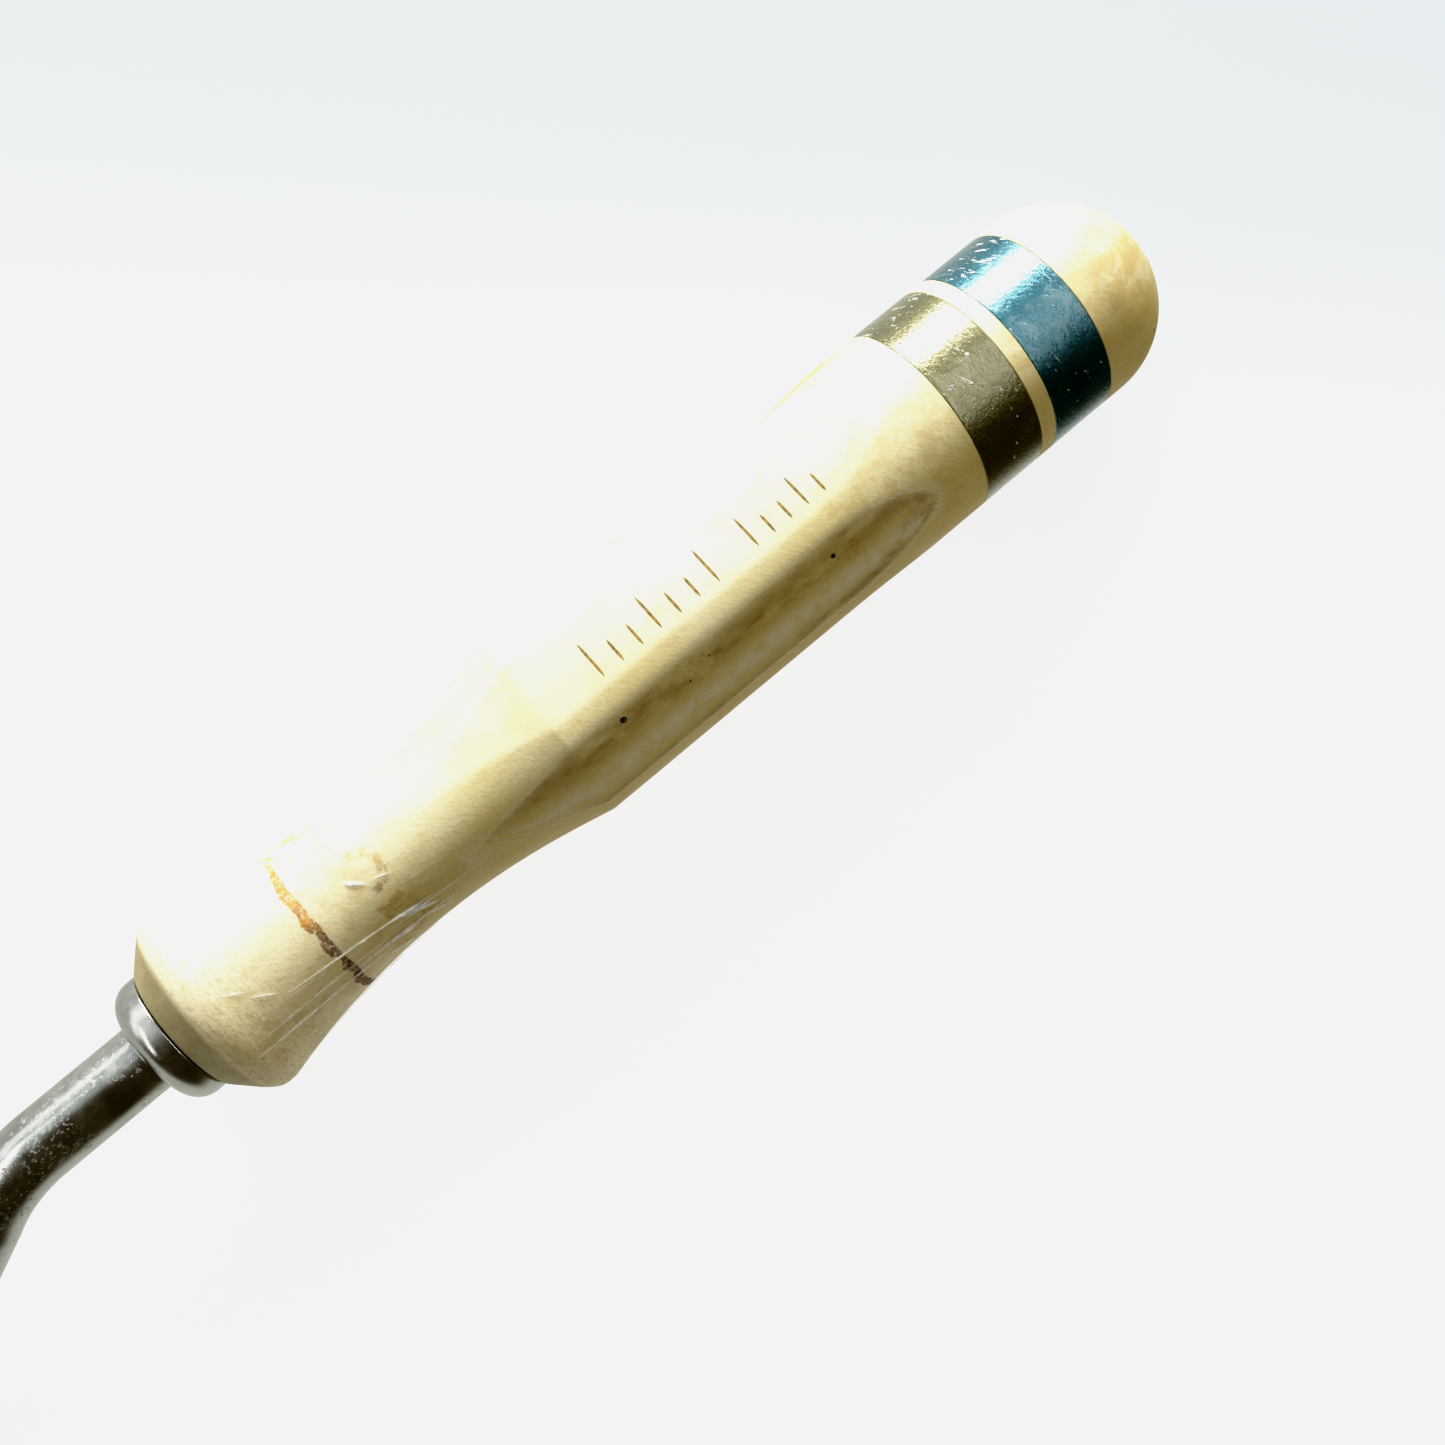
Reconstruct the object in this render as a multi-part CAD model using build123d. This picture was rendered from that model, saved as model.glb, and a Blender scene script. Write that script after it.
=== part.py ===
from build123d import *
from math import atan, cos, degrees, radians, sin, sqrt
import os

# Dental elevator with a plastic handle. Millimetres.
# Origin: on the handle's axis, in the front face of the steel collar, where the shank comes out.
# +X runs along the handle's axis towards the blade, +Z is up. The instrument is held as it lies
# on a table: on the round butt of the handle, with the bend of the shank turned down and sideways.

# ---- Handle: lengths along the axis, measured back from the collar's front face ----
COLLAR_RIM = 2.9            # front face to rear face of the collar's rim
SEAT_LINE = 0.15            # resin line between the collar's rim and the handle
BEVEL_LENGTH = 2.5          # conical front of the handle
LIP_LENGTH = 1.95           # rounded lip behind the bevel
WAIST_BACK = 23.05          # thinnest place of the neck
KNEE_BACK = 39.85           # edge where the neck meets the grip
FLATS_END_BACK = 76.05      # where the flats have run out
BUTT_BACK = 97.15           # where the domed end starts
DOME_LENGTH = 8.3           # dome, from the butt's cylinder to its apex

# ---- Handle: radii ----
FACE_RADIUS = 5.85          # flat front face under the collar
BEVEL_RADIUS = 8.4          # sharp edge at the back of the bevel
LIP_RADIUS = 8.64           # widest place of the lip
LIP_BACK_RADIUS = 8.55      # where the lip runs into the neck's arc
WAIST_RADIUS = 6.44
KNEE_RADIUS = 8.85
BUTT_RADIUS = 9.0

# ---- Flats ----
FLAT_COUNT = 6
FLAT_DEPTH = 0.72           # how far a flat lies under the round surface
FIRST_FLAT = 38.5           # angle of one flat from straight up, towards +Y, in degrees
FLAT_RUNOUT = 10.0          # length of the scooped rear end of a flat
FLAT_FADE = 12.0            # length of neck over which the flats fade out
FADE_STEPS = 4              # points that shape the fading cut

# ---- Coloured bands, flush in grooves ----
BAND_DEPTH = 0.35
BRONZE_BACK = 80.65         # front edge of the bronze band
BRONZE_WIDTH = 6.2
BAND_GAP = 1.6
TEAL_WIDTH = 6.35

# ---- Collar ----
COLLAR_RADIUS = 5.55
COLLAR_NOSE = 1.9           # rounding of the front rim
SPIGOT_RADIUS = 4.6
SPIGOT_LENGTH = 3.0
SPIGOT_CLEARANCE = 0.1      # filled with resin
SEAT_RADIUS = 2.45          # round seat of the shank inside the collar
SEAT_CLEARANCE = 0.02

# ---- Tang and bore ----
TANG_SLACK = 0.03           # the square tang's corners pass through the collar with this to spare
TANG_LENGTH = 62.0          # behind the handle's front face
TANG_POINT = 5.0            # tapered end of the tang
TANG_POINT_TAPER = 12.0     # degrees on each side
BORE_RADIUS = 3.2
BORE_SPARE = 3.0            # bore beyond the tang's point
RESIN_CLEARANCE = 0.01
RESIN_RECESS = 0.25         # the resin line stays inside the collar's rim

# ---- Shank and blade ----
SHANK_RADIUS = 2.95
SHANK_STRAIGHT = 10.65      # collar face to the first bend
FIRST_BEND = 33.0           # degrees
FIRST_BEND_RADIUS = 14.0    # of the centre line
REACH = 16.0                # tapered run between the bends
WRIST_RADIUS = 1.7          # shank radius at the second bend
SECOND_BEND = 45.0          # degrees, back past the handle's direction
SECOND_BEND_RADIUS = 12.0
ROLL = 35.0                 # the bends' plane, turned down from +Y, in degrees
BLADE_LENGTH = 13.0
BLADE_WIDTH = 3.9
BLADE_THICKNESS = 2.0
TIP_THICKNESS = 1.1
HOLLOW_RADIUS = 2.3         # of the groove in the blade's face
HOLLOW_DEPTH = 0.7          # of the groove, at the tip

# ---- Clear film on the neck ----
FILM_THICKNESS = 0.1
FILM_BACK = 30.5            # rear edge of the film

FACE_BACK = COLLAR_RIM + SEAT_LINE
BEVEL_BACK = FACE_BACK + BEVEL_LENGTH
LIP_BACK = BEVEL_BACK + LIP_LENGTH
APEX_BACK = BUTT_BACK + DOME_LENGTH
TEAL_BACK = BRONZE_BACK + BRONZE_WIDTH + BAND_GAP
LIP_CREST_BACK = BEVEL_BACK + 0.55 * LIP_LENGTH
SPIGOT_BACK = FACE_BACK + SPIGOT_LENGTH
TANG_BACK = FACE_BACK + TANG_LENGTH
TANG_SIDE = sqrt(2) * (SEAT_RADIUS - TANG_SLACK)


def at(back, radius):
    """Point of an outline in the XZ plane, from its distance behind the origin."""
    return Vector(-back, 0, radius)


def turned(*edges):
    """Solid of revolution about the handle's axis from a closed outline of edges."""
    return revolve(make_face(edges), Axis.X)


def tube(front, back, inner, outer):
    """Plain ring about the handle's axis between two stations."""
    corners = [at(front, inner), at(front, outer), at(back, outer), at(back, inner)]
    return turned(Polyline(*corners, close=True))


def rod(front, back, radius):
    """Plain cylinder about the handle's axis between two stations."""
    corners = [at(front, 0), at(front, radius), at(back, radius), at(back, 0)]
    return turned(Polyline(*corners, close=True))


def neck_arc(extra=0.0):
    """Arc of the neck from the lip to the knee, moved out by extra."""
    return ThreePointArc(
        at(LIP_BACK, LIP_BACK_RADIUS + extra),
        at(WAIST_BACK, WAIST_RADIUS + extra),
        at(KNEE_BACK, KNEE_RADIUS + extra),
    )


def lip_arc(extra=0.0):
    """Rounded lip from the bevel's edge to the neck, moved out by extra."""
    return ThreePointArc(
        at(BEVEL_BACK, BEVEL_RADIUS + extra),
        at(LIP_CREST_BACK, LIP_RADIUS + extra),
        at(LIP_BACK, LIP_BACK_RADIUS + extra),
    )


def handle_blank():
    """The handle before its flats, grooves and bore are cut."""
    flats_end = at(FLATS_END_BACK, BUTT_RADIUS)
    butt_end = at(BUTT_BACK, BUTT_RADIUS)
    apex = at(APEX_BACK, 0)
    outline = [
        Line(at(FACE_BACK, 0), at(FACE_BACK, FACE_RADIUS)),
        Line(at(FACE_BACK, FACE_RADIUS), at(BEVEL_BACK, BEVEL_RADIUS)),
        lip_arc(),
        neck_arc(),
        Line(at(KNEE_BACK, KNEE_RADIUS), flats_end),
        Line(flats_end, butt_end),
        dome_curve(butt_end, apex),
        Line(apex, at(FACE_BACK, 0)),
    ]
    return turned(*outline)


def dome_curve(butt_end, apex):
    """Quarter ellipse of the domed end."""
    steep = 0.5522847          # handle length that makes a cubic curve follow an ellipse
    first = butt_end + Vector(-steep * DOME_LENGTH, 0, 0)
    second = apex + Vector(0, 0, steep * BUTT_RADIUS)
    return Bezier(butt_end, first, second, apex)


def flat_cutter(angle):
    """Cuts one flat: scooped rear end, straight run, and a fading cut into the neck."""
    flat_start = FLATS_END_BACK - FLAT_RUNOUT
    share = (flat_start - KNEE_BACK) / (FLATS_END_BACK - KNEE_BACK)
    round_there = KNEE_RADIUS + share * (BUTT_RADIUS - KNEE_RADIUS)
    rear = at(FLATS_END_BACK, BUTT_RADIUS)
    flat_rear = at(flat_start, round_there - FLAT_DEPTH)
    knee = at(KNEE_BACK, KNEE_RADIUS - FLAT_DEPTH)
    along = (flat_rear - knee).normalized()
    fading = [knee]
    for step in range(1, FADE_STEPS + 1):
        part = step / FADE_STEPS
        back = KNEE_BACK - part * FLAT_FADE
        depth = FLAT_DEPTH * (1 - part) ** 1.5
        fading.append(at(back, neck_radius(back) - depth))
    above = 2 * BUTT_RADIUS
    end = fading[-1]
    outline = [
        Spline(*fading),
        Line(knee, flat_rear),
        TangentArc(flat_rear, rear, tangent=along),
        Line(rear, Vector(rear.X, 0, above)),
        Line(Vector(rear.X, 0, above), Vector(end.X, 0, above)),
        Line(Vector(end.X, 0, above), end),
    ]
    slab = extrude(make_face(outline), amount=BUTT_RADIUS, dir=(0, 1, 0), both=True)
    return slab.rotate(Axis.X, -angle)


def neck_radius(back):
    """Radius of the neck's arc at a station."""
    centre = neck_arc().arc_center
    arc_radius = neck_arc().radius
    return centre.Z - sqrt(arc_radius ** 2 - (back + centre.X) ** 2)


def handle_body():
    body = handle_blank()
    for index in range(FLAT_COUNT):
        body -= flat_cutter(FIRST_FLAT + index * 360 / FLAT_COUNT)
    body -= band(BRONZE_BACK, BRONZE_WIDTH)
    body -= band(TEAL_BACK, TEAL_WIDTH)
    body -= rod(FACE_BACK, SPIGOT_BACK + SPIGOT_CLEARANCE, SPIGOT_RADIUS + SPIGOT_CLEARANCE)
    body -= rod(FACE_BACK, TANG_BACK + BORE_SPARE, BORE_RADIUS)
    return body


def band(front, width):
    """Coloured ring whose outside is the handle's own surface."""
    return tube(front, front + width, BUTT_RADIUS - BAND_DEPTH, BUTT_RADIUS)


def ferrule():
    """Collar with a rounded nose and a spigot that sits in the handle."""
    nose = COLLAR_NOSE
    inner = SEAT_RADIUS + SEAT_CLEARANCE
    centre_radius = COLLAR_RADIUS - nose
    middle = at(nose - nose * sin(radians(45)), centre_radius + nose * sin(radians(45)))
    outline = [
        Line(at(0, inner), at(0, centre_radius)),
        ThreePointArc(at(0, centre_radius), middle, at(nose, COLLAR_RADIUS)),
        Polyline(
            at(nose, COLLAR_RADIUS),
            at(COLLAR_RIM, COLLAR_RADIUS),
            at(COLLAR_RIM, SPIGOT_RADIUS),
            at(SPIGOT_BACK, SPIGOT_RADIUS),
            at(SPIGOT_BACK, inner),
            at(0, inner),
        ),
    ]
    return turned(*outline)


def tang():
    """Square tang behind the collar, with a tapered point."""
    straight_end = TANG_BACK - TANG_POINT
    front = Plane(origin=(-SPIGOT_BACK, 0, 0), x_dir=(0, 1, 0), z_dir=(-1, 0, 0))
    bar = extrude(front * Rectangle(TANG_SIDE, TANG_SIDE), amount=straight_end - SPIGOT_BACK)
    end = Plane(origin=(-straight_end, 0, 0), x_dir=(0, 1, 0), z_dir=(-1, 0, 0))
    square = end * Rectangle(TANG_SIDE, TANG_SIDE)
    return bar + extrude(square, amount=TANG_POINT, taper=TANG_POINT_TAPER)


def bend_frame():
    """Plane of the bends: its x runs forward and its y runs in the bends' direction."""
    sideways = Vector(0, cos(radians(ROLL)), -sin(radians(ROLL)))
    return Plane(origin=(0, 0, 0), x_dir=(1, 0, 0), z_dir=Vector(1, 0, 0).cross(sideways))


def heading(angle):
    """Unit direction in the bends' plane, from the handle's direction."""
    return Vector(cos(radians(angle)), sin(radians(angle)))


def turn(angle, side):
    """Unit direction square to a heading, on the bend's inner side."""
    return Vector(-sin(radians(angle)), cos(radians(angle))) * side


def shank_points():
    """Centre line in the bends' plane: ends of each straight run and each bend's middle."""
    start = Vector(SHANK_STRAIGHT, 0)
    centre = start + turn(0, 1) * FIRST_BEND_RADIUS
    first_mid = centre - turn(FIRST_BEND / 2, 1) * FIRST_BEND_RADIUS
    first_end = centre - turn(FIRST_BEND, 1) * FIRST_BEND_RADIUS
    reach_end = first_end + heading(FIRST_BEND) * REACH
    centre = reach_end + turn(FIRST_BEND, -1) * SECOND_BEND_RADIUS
    second_mid = centre - turn(FIRST_BEND - SECOND_BEND / 2, -1) * SECOND_BEND_RADIUS
    blade_start = centre - turn(FIRST_BEND - SECOND_BEND, -1) * SECOND_BEND_RADIUS
    return start, first_mid, first_end, reach_end, second_mid, blade_start


def bent(start, middle, end, angle, radius):
    """Round bar swept along one bend; angle is the heading where it starts."""
    frame = bend_frame()
    points = [frame.from_local_coords(point) for point in (start, middle, end)]
    direction = frame.from_local_coords(heading(angle)) - frame.origin
    section = Plane(origin=points[0], z_dir=direction) * Circle(radius)
    return sweep(section, path=ThreePointArc(*points))


def reach(start, end):
    """Tapered run between the bends."""
    frame = bend_frame()
    first, last = frame.from_local_coords(start), frame.from_local_coords(end)
    direction = last - first
    wide = Plane(origin=first, z_dir=direction) * Circle(SHANK_RADIUS)
    narrow = Plane(origin=last, z_dir=direction) * Circle(WRIST_RADIUS)
    return loft([wide, narrow])


def blade():
    """Blade along local +X from its root, its hollow face towards local +Z."""
    stations = [
        (0.0, 2 * WRIST_RADIUS, 2 * WRIST_RADIUS),
        (0.35, BLADE_WIDTH * 0.96, BLADE_THICKNESS * 1.25),
        (0.7, BLADE_WIDTH, BLADE_THICKNESS),
        (1.0, BLADE_WIDTH, TIP_THICKNESS),
    ]
    sections = []
    for share, width, thickness in stations:
        place = Plane(origin=(share * BLADE_LENGTH, 0, 0), x_dir=(0, 1, 0), z_dir=(1, 0, 0))
        sections.append(place * Ellipse(width / 2, thickness / 2))
    body = loft(sections)
    return (body & blade_outline()) - blade_hollow()


def blade_outline():
    """Extruded plan of the blade with its rounded tip."""
    half = BLADE_WIDTH / 2
    shoulder = BLADE_LENGTH - half
    outline = [
        Polyline((shoulder, half), (-half, half), (-half, -half), (shoulder, -half)),
        ThreePointArc((shoulder, -half), (BLADE_LENGTH, 0), (shoulder, half)),
    ]
    return extrude(make_face(outline), amount=BLADE_WIDTH, both=True)


def blade_hollow():
    """Round groove along the face that deepens towards the tip."""
    run = 0.8 * BLADE_LENGTH
    tip_floor = TIP_THICKNESS / 2 - HOLLOW_DEPTH
    rise = BLADE_THICKNESS / 2 - tip_floor
    slope = degrees(atan(rise / run))
    axis_height = tip_floor + HOLLOW_RADIUS / cos(radians(slope))
    cutter = Cylinder(HOLLOW_RADIUS, 3 * BLADE_LENGTH, rotation=(0, 90, 0))
    cutter = cutter.rotate(Axis.Y, slope)
    return Pos(BLADE_LENGTH, 0, axis_height) * cutter


def shank_blade():
    """One forging: tang, round shank, two bends, tapered run and blade."""
    start, first_mid, first_end, reach_end, second_mid, blade_start = shank_points()
    neck = rod(-SHANK_STRAIGHT, 0, SHANK_RADIUS) + rod(0, SPIGOT_BACK, SEAT_RADIUS)
    frame = bend_frame()
    direction = frame.from_local_coords(heading(FIRST_BEND - SECOND_BEND)) - frame.origin
    face = frame.from_local_coords(turn(FIRST_BEND - SECOND_BEND, -1)) - frame.origin
    seat = Plane(origin=frame.from_local_coords(blade_start), x_dir=direction, z_dir=face)
    return (
        tang()
        + neck
        + bent(start, first_mid, first_end, 0, SHANK_RADIUS)
        + reach(first_end, reach_end)
        + bent(reach_end, second_mid, blade_start, FIRST_BEND, WRIST_RADIUS)
        + seat * blade()
    )


def tang_resin():
    """Resin round the tang and the collar's spigot, out to the thin line under the collar's rim."""
    bore = rod(SPIGOT_BACK, TANG_BACK + BORE_SPARE, BORE_RADIUS - RESIN_CLEARANCE)
    socket = rod(COLLAR_RIM, SPIGOT_BACK + SPIGOT_CLEARANCE, SPIGOT_RADIUS + SPIGOT_CLEARANCE)
    line = rod(COLLAR_RIM, FACE_BACK, COLLAR_RADIUS - RESIN_RECESS)
    spigot = rod(COLLAR_RIM, SPIGOT_BACK, SPIGOT_RADIUS)
    return bore + socket + line - spigot - tang()


def clear_film():
    """Thin clear skin over the lip and the front of the neck."""
    clip = rod(BEVEL_BACK, FILM_BACK, 2 * LIP_RADIUS)
    inner = turned(lip_arc(), neck_arc(), *film_closing(0))
    outer = turned(lip_arc(FILM_THICKNESS), neck_arc(FILM_THICKNESS), *film_closing(FILM_THICKNESS))
    return (outer - inner) & clip


def film_closing(extra):
    """Straight edges that close the film's outline down to the axis."""
    knee = at(KNEE_BACK, KNEE_RADIUS + extra)
    front = at(BEVEL_BACK, BEVEL_RADIUS + extra)
    return [Polyline(knee, at(KNEE_BACK, 0), at(BEVEL_BACK, 0), front)]


NODES = {
    "handle_body": handle_body,
    "bronze_band": lambda: band(BRONZE_BACK, BRONZE_WIDTH),
    "teal_band": lambda: band(TEAL_BACK, TEAL_WIDTH),
    "ferrule": ferrule,
    "shank_blade": shank_blade,
    "tang_resin": tang_resin,
    "clear_film": clear_film,
}

os.makedirs("parts", exist_ok=True)
for name, build in NODES.items():
    export_step(build(), f"parts/{name}.step")
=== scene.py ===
from math import cos, pi, radians, sin, sqrt

import bpy
import numpy as np
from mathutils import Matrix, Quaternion, Vector


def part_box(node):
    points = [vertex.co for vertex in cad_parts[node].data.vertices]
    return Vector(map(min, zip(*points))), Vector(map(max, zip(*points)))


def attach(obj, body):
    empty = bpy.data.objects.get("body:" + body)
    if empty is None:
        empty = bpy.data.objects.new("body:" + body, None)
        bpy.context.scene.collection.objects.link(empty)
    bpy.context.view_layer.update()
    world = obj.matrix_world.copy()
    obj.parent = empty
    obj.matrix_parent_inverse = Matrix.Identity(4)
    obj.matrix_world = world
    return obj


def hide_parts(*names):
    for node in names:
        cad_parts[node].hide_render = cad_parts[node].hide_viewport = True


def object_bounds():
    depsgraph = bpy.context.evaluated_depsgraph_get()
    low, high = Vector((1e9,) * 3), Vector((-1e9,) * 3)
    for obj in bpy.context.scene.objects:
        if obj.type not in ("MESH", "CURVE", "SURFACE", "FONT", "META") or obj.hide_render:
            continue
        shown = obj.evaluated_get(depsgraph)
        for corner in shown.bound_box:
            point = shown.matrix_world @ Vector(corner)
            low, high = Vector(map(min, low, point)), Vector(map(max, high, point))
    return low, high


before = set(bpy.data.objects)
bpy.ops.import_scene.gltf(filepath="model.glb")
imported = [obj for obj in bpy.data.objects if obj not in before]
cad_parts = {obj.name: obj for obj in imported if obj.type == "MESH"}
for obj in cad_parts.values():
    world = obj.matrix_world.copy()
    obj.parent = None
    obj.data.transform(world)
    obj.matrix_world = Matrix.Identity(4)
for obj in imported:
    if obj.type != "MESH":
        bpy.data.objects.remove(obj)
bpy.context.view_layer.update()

# Dental elevator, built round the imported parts. Lengths are millimetres here and metres in Blender.
# "back" is a distance behind the collar's front face, which is the frame's origin. An angle round
# the handle is in degrees from straight up, towards +Y.
MM = 0.001


def span(node):
    """How far behind the origin a CAD node starts and ends, and its radius."""
    low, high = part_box(node)
    return -high.x / MM, -low.x / MM, high.z / MM


# ---- Sizes read from the frame ----
FACE_BACK, APEX_BACK, BUTT_RADIUS = span("handle_body")
BRONZE_FRONT, BRONZE_REAR, _ = span("bronze_band")
TEAL_FRONT, TEAL_REAR, _ = span("teal_band")
_, SPIGOT_BACK, COLLAR_RADIUS = span("ferrule")
BEVEL_BACK, FILM_BACK, _ = span("clear_film")
TANG_BACK = span("shank_blade")[1]
BORE_BACK = span("tang_resin")[1]

# ---- Handle, as in the CAD ----
FACE_RADIUS = 5.85
BEVEL_RADIUS = 8.4
LIP_LENGTH = 1.95
LIP_CREST = 0.55         # share of the lip's length
LIP_RADIUS = 8.64
LIP_BACK_RADIUS = 8.55
WAIST_BACK, WAIST_RADIUS = 23.05, 6.44
KNEE_BACK, KNEE_RADIUS = 39.85, 8.85
FLATS_END_BACK = 76.05
BUTT_BACK = 97.15
FLAT_DEPTH = 0.72
FIRST_FLAT = 38.5
FLAT_STEP = 60.0
FLAT_RUNOUT = 10.0
FLAT_FADE = 12.0
BAND_DEPTH = 0.35
GROOVE_EDGE = 0.05       # worn corner of a band's groove
BORE_RADIUS = 3.2
SPIGOT_HOLE_RADIUS = 4.7
SPIGOT_CLEARANCE = 0.1

# ---- Wear of the handle ----
FLAT_CROWN_RADIUS = 26.0    # the hand-finished flats bulge a little
EDGE_WEAR = 0.15            # how far two faces blend where they meet
KNEE_WEAR = 0.06
CORNER_WEAR = 0.05          # of the bevel's edge, on the -Y side
CORNER_RUBBED = 0.5         # and on the +Y side, where it is rubbed away
SURFACE_WAVE = 0.012        # height of the unevenness of the surface
HANDLE_COLUMNS = 360
ROW_STEP = 0.3

# ---- Collar ----
COLLAR_RIM = 2.9
COLLAR_NOSE = 1.9
SPIGOT_RADIUS = 4.6
SEAT_RADIUS = 2.45
SEAT_CLEARANCE = 0.02

# ---- Shank and blade ----
SHANK_RADIUS = 2.95
SHANK_STRAIGHT = 10.65
SHOULDER_ROUND = 0.12
FIRST_BEND, FIRST_BEND_RADIUS = 33.0, 14.0
REACH = 16.0
WRIST_RADIUS = 1.7
SECOND_BEND, SECOND_BEND_RADIUS = 45.0, 12.0
ROLL = 35.0
BLADE_LENGTH, BLADE_WIDTH = 13.0, 3.9
BLADE_THICKNESS, TIP_THICKNESS = 2.0, 1.1
HOLLOW_RADIUS, HOLLOW_DEPTH, HOLLOW_RUN = 2.3, 0.7, 0.8
TANG_SIDE = 3.42
TANG_POINT, TANG_POINT_SIDE = 5.0, 1.3

# ---- Camera ----
CAMERA_PLACE = Vector((-33.37, 0.08, 131.48)) * MM
CAMERA_AIM = Vector((-51.47, 8.97, 0.0)) * MM
CAMERA_ROLL = 76.35      # turn about the line of sight, in degrees
CAMERA_LENS = 39.76      # millimetres, on a 36 mm wide sensor


# =====================================================================
# Mesh tools
# =====================================================================
def smooth_min(a, b, width):
    """The lower of two surfaces, blended where they are closer than width."""
    near = np.maximum(width - np.abs(a - b), 0.0) / width
    return np.minimum(a, b) - near * near * width / 4


def circle_through(p, q, r):
    """Centre and radius of the circle through three points."""
    rows = 2 * np.array([[q[0] - p[0], q[1] - p[1]], [r[0] - p[0], r[1] - p[1]]])
    squares = [q[0] ** 2 - p[0] ** 2 + q[1] ** 2 - p[1] ** 2,
               r[0] ** 2 - p[0] ** 2 + r[1] ** 2 - p[1] ** 2]
    centre = np.linalg.solve(rows, squares)
    return centre[0], centre[1], float(np.hypot(p[0] - centre[0], p[1] - centre[1]))


def skin(name, grid, closed=False, first_pole=None, last_pole=None, sharp=40):
    """Object from a grid of points in millimetres whose rows run round. Poles close its ends."""
    rows, columns, _ = grid.shape
    points = [tuple(p) for p in grid.reshape(-1, 3) * MM]
    faces = []
    for row in range(rows if closed else rows - 1):
        above = (row + 1) % rows
        for column in range(columns):
            beside = (column + 1) % columns
            faces.append((row * columns + column, row * columns + beside,
                          above * columns + beside, above * columns + column))
    for pole, row, forward in ((first_pole, 0, False), (last_pole, rows - 1, True)):
        if pole is None:
            continue
        points.append(tuple(np.array(pole) * MM))
        tip = len(points) - 1
        for column in range(columns):
            beside = (column + 1) % columns
            ends = (row * columns + column, row * columns + beside)
            faces.append((*ends, tip) if forward else (*ends[::-1], tip))
    return make_object(name, points, faces, sharp)


def make_object(name, points, faces, sharp=40):
    mesh = bpy.data.meshes.new(name)
    mesh.from_pydata(points, [], faces)
    mesh.validate()
    mesh.shade_smooth()
    mesh.set_sharp_from_angle(angle=radians(sharp))
    piece = bpy.data.objects.new(name, mesh)
    bpy.context.scene.collection.objects.link(piece)
    return piece


def store(piece, name, values):
    """Stores a number at each vertex, for a material to read."""
    mark = piece.data.attributes.new(name, "FLOAT", "POINT")
    mark.data.foreach_set("value", values.astype(np.float32))


def round_angles(columns):
    return np.arange(columns) * 2 * pi / columns


def around(back, radius, angle):
    """Points at distances behind the origin, radii and angles, as one array."""
    back, radius, angle = np.broadcast_arrays(back, radius, angle)
    return np.stack([-back, radius * np.sin(angle), radius * np.cos(angle)], axis=-1)


def finish_piece(piece, material, slot, *nodes):
    """Gives a piece its material and body, and lets it stand for CAD nodes."""
    piece.data.materials.append(material)
    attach(piece, "root")
    if nodes:
        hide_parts(*nodes)


def waves(back, angle, count, seed, longest, shortest):
    """Seamless unevenness from -1 to 1 over the surface of the handle."""
    draw = np.random.default_rng(seed)
    total = np.zeros(np.broadcast(back, angle).shape)
    for _ in range(count):
        turns = draw.integers(-6, 7)
        length = draw.uniform(shortest, longest)
        total = total + np.sin(2 * pi * back / length + turns * angle + draw.uniform(0, 2 * pi))
    return total / count


# =====================================================================
# Handle
# =====================================================================
LIP_BACK = BEVEL_BACK + LIP_LENGTH
LIP_ARC = circle_through((BEVEL_BACK, BEVEL_RADIUS),
                         (BEVEL_BACK + LIP_CREST * LIP_LENGTH, LIP_RADIUS),
                         (LIP_BACK, LIP_BACK_RADIUS))
NECK_ARC = circle_through((LIP_BACK, LIP_BACK_RADIUS), (WAIST_BACK, WAIST_RADIUS),
                          (KNEE_BACK, KNEE_RADIUS))


def lip_radius(back):
    """The lip's arc, carried on straight ahead of the bevel's edge."""
    centre, height, radius = LIP_ARC
    slope = (centre - BEVEL_BACK) / (BEVEL_RADIUS - height)
    arc = height + np.sqrt(np.maximum(radius ** 2 - (back - centre) ** 2, 0.0))
    return np.where(back < BEVEL_BACK, BEVEL_RADIUS + (back - BEVEL_BACK) * slope, arc)


def neck_radius(back):
    centre, height, radius = NECK_ARC
    return height - np.sqrt(radius ** 2 - (back - centre) ** 2)


def grip_radius(back):
    share = (back - KNEE_BACK) / (FLATS_END_BACK - KNEE_BACK)
    return np.minimum(KNEE_RADIUS + share * (BUTT_RADIUS - KNEE_RADIUS), BUTT_RADIUS)


def front_radius(back, angle):
    """Bevel, lip and front of the neck."""
    slope = (BEVEL_RADIUS - FACE_RADIUS) / (BEVEL_BACK - FACE_BACK)
    bevel = FACE_RADIUS + (back - FACE_BACK) * slope
    rubbed = np.clip(0.35 + 0.65 * np.sin(angle), 0, 1)
    lip = smooth_min(bevel, lip_radius(back), CORNER_WEAR + (CORNER_RUBBED - CORNER_WEAR) * rubbed)
    return np.where(back < LIP_BACK, lip, neck_radius(np.clip(back, LIP_BACK, KNEE_BACK)))


def blank_radius(back, angle=0.0):
    """Radius of the handle before its flats, ahead of the dome."""
    neck = neck_radius(np.clip(back, LIP_BACK, KNEE_BACK + 2))
    grip = smooth_min(neck, grip_radius(back), KNEE_WEAR)
    rear = np.where(back < KNEE_BACK + 2, grip, grip_radius(back))
    return np.where(back < WAIST_BACK, front_radius(back, angle), rear)


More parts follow.
